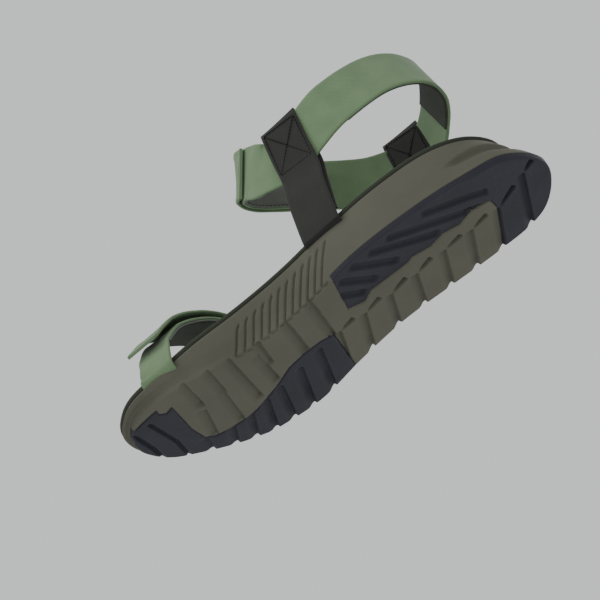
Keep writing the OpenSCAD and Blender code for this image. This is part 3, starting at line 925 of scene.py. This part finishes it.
def part_of(frames, first, last):
    return tuple(a[first:last + 1] for a in frames)


FINE = 12
ankle = band_frames(ANKLE_ROUTE, UP, FINE)
flap = band_frames(FLAP_ROUTE, UP, FINE)
toe = band_frames(TOE_ROUTE, ALONG, FINE)
toe_lateral = band_frames(TOE_LATERAL_ROUTE, ALONG, FINE)
toe_flap = band_frames(TOE_FLAP_ROUTE, ALONG, FINE)


def strap(name, frames, width, body, node, **look):
    obj = band_mesh(name, frames, width, WEBBING_T, mat_webbing, **look)
    return finish_piece(obj, body, "webbing", node)


ankle_strap = strap("ankle_webbing", ankle, ANKLE_W, "sandal", "ankle_strap", wave=0.12, across=22, seed=0.4)
strap(
    "instep_flap_webbing", flap, ANKLE_W, "instep_closure", "instep_flap",
    wave=0.08, across=22, tip=3, seed=1.3,
)
toe_base = strap("toe_webbing", toe, TOE_W, "sandal", "toe_base_strap", wave=0.06, seed=2.1)
strap("toe_lateral_webbing", toe_lateral, TOE_W, "sandal", "toe_lateral_strap", wave=0.06, seed=0.9)
strap("toe_flap_webbing", toe_flap, TOE_W, "toe_closure", "toe_flap", wave=0.08, tip=3, seed=1.7)

lining_shift = -WEBBING_T / 2 - LINING_T / 2 - FIT_GAP


def lining(name, strap_part, width, material, node):
    obj = band_mesh(name, strap_part, width, LINING_T, material, lining_shift)
    return finish_piece(obj, "sandal", "lining", node)


instep_part = part_of(ankle, 0, 7 * FINE)
heel_part = part_of(ankle, 10 * FINE, 14 * FINE)
toe_part = part_of(toe, 5 * FINE, 9 * FINE)
instep_lining = lining("instep_lining_knit", instep_part, ANKLE_W - 1, mat_lining, "instep_lining")
heel_lining = lining("heel_lining_knit", heel_part, ANKLE_W - 1, mat_heel_lining, "heel_lining")
toe_lining = lining("toe_lining_knit", toe_part, TOE_W - 1, mat_lining, "toe_lining")

patch_shift = WEBBING_T / 2 + PATCH_T / 2 + FIT_GAP
quarter = FINE // 4


def patch(name, strap_part, width, shift, material, body, slot, node):
    obj = band_mesh(name, strap_part, width - 2 * PATCH_MARGIN, PATCH_T, material, shift, edge=0.2)
    finish_piece(obj, body, slot, node)


instep_loop = part_of(ankle, quarter, 5 * FINE)
patch(
    "instep_loop_pile", instep_loop, ANKLE_W, patch_shift, mat_loop, "sandal", "loop_pile",
    "instep_loop_patch",
)
instep_hook = part_of(flap, 3 * quarter, 6 * FINE - quarter)
patch(
    "instep_hook_pile", instep_hook, ANKLE_W, -patch_shift, mat_hook, "instep_closure", "hook_pile",
    "instep_hook_patch",
)
toe_loop = part_of(toe, 6 * FINE, 9 * FINE - quarter)
patch("toe_loop_pile", toe_loop, TOE_W, patch_shift, mat_loop, "sandal", "loop_pile", "toe_loop_patch")
toe_hook = part_of(toe_flap, 4 * quarter, 5 * FINE - quarter)
patch("toe_hook_pile", toe_hook, TOE_W, patch_shift, mat_hook, "toe_closure", "hook_pile", "toe_hook_patch")


# ---------- posts ----------
LEG_HALF = WEBBING_T / 2 + TAPE_T / 2 + 0.15


def moved(p, dx, dy, dz):
    return (p[0] + dx, p[1] + dy, p[2] + dz, 0.0)


def post_turn(side):
    return math.radians(MEDIAL_TURN if side < 0 else LATERAL_TURN)


def out(side, p, d, dy, dz):
    """A point moved outwards from the post's middle, square to its width."""
    return moved(p, side * d * math.cos(post_turn(side)), dy - side * d * math.sin(post_turn(side)), dz)


def post_route(side):
    r = MEDIAL_ROOT if side < 0 else LATERAL_ROOT
    h = MEDIAL_HEAD if side < 0 else LATERAL_HEAD
    half = ANKLE_W / 2
    fold = half + FOLD_RISE
    inside = -LEG_HALF - INNER_SLACK
    waist = tuple(a * 0.45 + b * 0.55 for a, b in zip(h, r))
    return [
        moved(r, -side * 14, 0, -1.4), moved(r, -side * 3, 0, -1.4), moved(r, side * 0.9, 0, -0.2),
        moved(r, side * 1.5, -0.6, 4.6), out(side, waist, 1.4, 0, 0), out(side, h, LEG_HALF + 0.2, 2, -half),
        out(side, h, LEG_HALF, 0, 0), out(side, h, LEG_HALF - 0.2, -2.4, half), out(side, h, 0.9, -3, fold),
        out(side, h, 0, -3.1, fold + 1), out(side, h, -0.9, -3, fold),
        out(side, h, inside + INNER_SLACK / 2, -2.4, half), out(side, h, inside, -0.6, 0),
        out(side, h, inside, 1, -half), out(side, waist, 1.3 - TAPE_T - INNER_SLACK, -1.6, 0),
        out(side, r, 1.1 - TAPE_T, -2.4, 9),
    ]


def stitch_points(a, b, pitch, fill=0.72):
    """Ends of each stitch along a seam from a to b."""
    a, b = np.array(a, float), np.array(b, float)
    count = max(1, int(round(np.linalg.norm(b - a) / pitch)))
    for k in range(count):
        yield a + (b - a) * (k + (1 - fill) / 2) / count, a + (b - a) * (k + (1 + fill) / 2) / count


def stitches(name, seams, radius, material):
    """Every stitch is a small domed capsule lying on the surface. seams holds (start, end, outward)."""
    verts, faces = [], []
    half = [(-0.5, 0.35, -0.7), (-0.42, 0.8, -0.1), (-0.2, 1.0, 0.25)]
    stations = half + [(-t, size, rise) for t, size, rise in half[::-1]]
    sides = 6
    for a, b, outward in seams:
        d = b - a
        length = np.linalg.norm(d)
        d = d / length
        up = unit(outward - d * (outward @ d))
        across = np.cross(d, up)
        base = len(verts)
        for t, size, rise in stations:
            c = (a + b) / 2 + d * t * length + up * rise * radius
            for k in range(sides):
                angle = 2 * math.pi * k / sides
                verts.append(c + (across * math.cos(angle) + up * math.sin(angle)) * radius * size)
        for r in range(len(stations) - 1):
            for k in range(sides):
                q = base + r * sides
                faces.append((q + k, q + (k + 1) % sides, q + sides + (k + 1) % sides, q + sides + k))
        faces.append(tuple(base + k for k in reversed(range(sides))))
        faces.append(tuple(base + (len(stations) - 1) * sides + k for k in range(sides)))
    return add_mesh(name, verts, faces, material)


def box_and_cross(side, inner):
    """Seams of a box with a cross, on the outer or inner face of the post."""
    h = np.array(MEDIAL_HEAD if side < 0 else LATERAL_HEAD, float)
    box_w, box_h = TAPE_W - 4, ANKLE_W - 2
    skew = math.atan2(2.4, ANKLE_W / 2)
    turn_by = post_turn(side)
    normal = np.array((math.cos(turn_by), -math.sin(turn_by), 0))
    width = np.array((math.sin(turn_by), math.cos(turn_by), 0))
    far = LEG_HALF + TAPE_T / 2 + 0.08
    face_at = -(far + INNER_SLACK) if inner else far

    def corner(a, b):
        y, z = a * box_w / 2, b * box_h / 2
        across = y * math.cos(skew) - z * math.sin(skew) - 0.5
        rise = y * math.sin(skew) + z * math.cos(skew) + 3.6
        if inner:
            held = face_at + 0.9 * smooth((rise - 6) / 12)
        else:
            held = face_at * (1 - 0.28 * smooth((rise - 14) / 9))
        return h + normal * side * held + width * across + UP * rise

    box = [(-1, -1), (1, -1), (1, 1), (-1, 1)]
    lines = list(zip(box, box[1:] + box[:1])) + [(box[0], box[2]), (box[1], box[3])]
    outward = normal * side * (-1 if inner else 1)
    seams = []
    for p, q in lines:
        steps = 6
        for k in range(steps):
            a = corner(p[0] + (q[0] - p[0]) * k / steps, p[1] + (q[1] - p[1]) * k / steps)
            b = corner(p[0] + (q[0] - p[0]) * (k + 1) / steps, p[1] + (q[1] - p[1]) * (k + 1) / steps)
            seams += [(c, d, outward) for c, d in stitch_points(a, b, 2.4, 0.8)]
    return seams


for side, word in ((-1, "medial"), (1, "lateral")):
    angle = post_turn(side)
    ref = np.array((math.sin(angle), math.cos(angle), 0))
    post = band_frames(post_route(side), ref, 8)
    tape = band_mesh(word + "_post_weave", post, TAPE_W, TAPE_T, mat_tape, edge=0.3)
    finish_piece(tape, "sandal", "post_tape", word + "_post_tape")
    box_seams = box_and_cross(side, False) + box_and_cross(side, True)
    seam = stitches(word + "_post_box_seam", box_seams, 0.36, mat_thread)
    finish_piece(seam, "sandal", "thread", word + "_post_stitching")


# ---------- seams on the straps ----------
SEAM_PITCH = 2.6


def edge_seam(frames, first, last, offset, lift):
    """Stitches along a band, offset across it and lifted off its middle."""
    p, w, n = part_of(frames, first, last)
    path = p + w * offset + n * lift
    s = lengths(path)
    count = int(s[-1] / SEAM_PITCH)
    result = []
    for k in range(count):
        ends = []
        for t in ((k + 0.14) * SEAM_PITCH, (k + 0.86) * SEAM_PITCH):
            ends.append(np.array([np.interp(t, s, path[:, i]) for i in range(3)]))
        middle = (k + 0.5) * SEAM_PITCH
        outward = np.array([np.interp(middle, s, n[:, i]) for i in range(3)]) * (1 if lift > 0 else -1)
        result.append((ends[0], ends[1], outward))
    return result


def cross_seam(frames, at, offset, lift):
    p, w, n = frames
    a = p[at] - w[at] * offset + n[at] * lift
    b = p[at] + w[at] * offset + n[at] * lift
    outward = n[at] * (1 if lift > 0 else -1)
    return [(c, d, outward) for c, d in stitch_points(a, b, SEAM_PITCH)]


face = WEBBING_T / 2 + 0.05
lining_face = -(WEBBING_T / 2 + LINING_T + 0.1)
flap_seams = []
for edge_at in (-1, 1):
    flap_seams += edge_seam(flap, 8, 6 * FINE - 4, edge_at * (ANKLE_W / 2 - 2.2), face)
flap_seams += cross_seam(flap, 6 * FINE - 4, ANKLE_W / 2 - 2.2, face)
flap_seams += cross_seam(flap, 8, ANKLE_W / 2 - 2.2, face)
finish_piece(stitches("instep_flap_seams", flap_seams, 0.3, mat_pale_thread), "instep_closure", "thread")
toe_seams = []
for edge_at in (-1, 1):
    toe_seams += edge_seam(toe_flap, 14, 5 * FINE - 5, edge_at * (TOE_W / 2 - 2.2), -face)
toe_seams += cross_seam(toe_flap, 5 * FINE - 5, TOE_W / 2 - 2.2, -face)
toe_seams += cross_seam(toe_flap, 14, TOE_W / 2 - 2.2, -face)
finish_piece(stitches("toe_flap_seams", toe_seams, 0.3, mat_pale_thread), "toe_closure", "thread")
inner_seams = []
for edge_at in (-1, 1):
    inner_seams += edge_seam(ankle, 4, 7 * FINE - 3, edge_at * (ANKLE_W / 2 - 1.4), lining_face)
    inner_seams += edge_seam(toe, 5 * FINE + 3, 9 * FINE - 3, edge_at * (TOE_W / 2 - 1.4), lining_face)
    inner_seams += edge_seam(ankle, 10 * FINE + 3, 14 * FINE - 3, edge_at * (ANKLE_W / 2 - 1.4), lining_face)
finish_piece(stitches("lining_edge_seams", inner_seams, 0.22, mat_thread), "sandal", "thread")
end_seams = []
for at in (7 * FINE - 3, 7 * FINE - 8):
    end_seams += cross_seam(ankle, at, ANKLE_W / 2 - 2.4, lining_face)
finish_piece(stitches("lining_end_seams", end_seams, 0.26, mat_pale_thread), "sandal", "thread")


# ---------- carried-over CAD nodes ----------
shank = bpy.data.objects.get("shank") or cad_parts["shank"]
shank.data.materials.clear()
shank.data.materials.append(mat_nylon)

# ---------- floor and light ----------
floor_mesh = bpy.data.meshes.new("floor")
floor_mesh.from_pydata([(-4, -4, 0), (4, -4, 0), (4, 4, 0), (-4, 4, 0)], [], [(0, 1, 2, 3)])
floor = bpy.data.objects.new("floor", floor_mesh)
bpy.context.scene.collection.objects.link(floor)
floor.location.z = -0.0004
floor.visible_shadow = False
floor.visible_diffuse = False
floor.visible_glossy = False
m = Nodes("pale_floor")
grain = m.noise(m.place(), 30, 3, 0.5)
m.surface(m.ramp(grain, [(0.3, (0.66, 0.66, 0.65)), (0.7, (0.7, 0.7, 0.69))]), 0.8)
see_through = m.add("ShaderNodeBsdfTransparent")
swap = m.add("ShaderNodeMixShader")
m.tree.links.new(m.add("ShaderNodeNewGeometry").outputs["Backfacing"], swap.inputs[0])
m.tree.links.new(m.shader.outputs[0], swap.inputs[1])
m.tree.links.new(see_through.outputs[0], swap.inputs[2])
m.tree.links.new(swap.outputs[0], m.tree.nodes["Material Output"].inputs["Surface"])
floor_mesh.materials.append(m.material)

world = bpy.data.worlds.new("pale")
world.use_nodes = True
world.node_tree.nodes["Background"].inputs["Color"].default_value = (0.80, 0.81, 0.82, 1)
world.node_tree.nodes["Background"].inputs["Strength"].default_value = 0.95
bpy.context.scene.world = world


def lamp(name, place, size, power):
    data = bpy.data.lights.new(name, "AREA")
    data.shape = "DISK"
    data.size = size
    data.energy = power
    obj = bpy.data.objects.new(name, data)
    obj.location = place
    obj.rotation_mode = "QUATERNION"
    obj.rotation_quaternion = (Vector((0, 0, 0.05)) - Vector(place)).to_track_quat("-Z", "Y")
    obj.visible_camera = False
    bpy.context.scene.collection.objects.link(obj)


lamp("key_top", (-0.7, 0.5, 1.3), 0.9, 9)
lamp("fill_top", (1.1, -0.7, 0.9), 1.0, 4)
lamp("low_medial", (-1.1, -0.3, -0.15), 0.8, 1.6)
lamp("toe_fill", (-1.1, 0.8, 0.0), 0.5, 1.6)
lamp("low_under", (0.6, -0.2, -1.2), 0.7, 2.8)
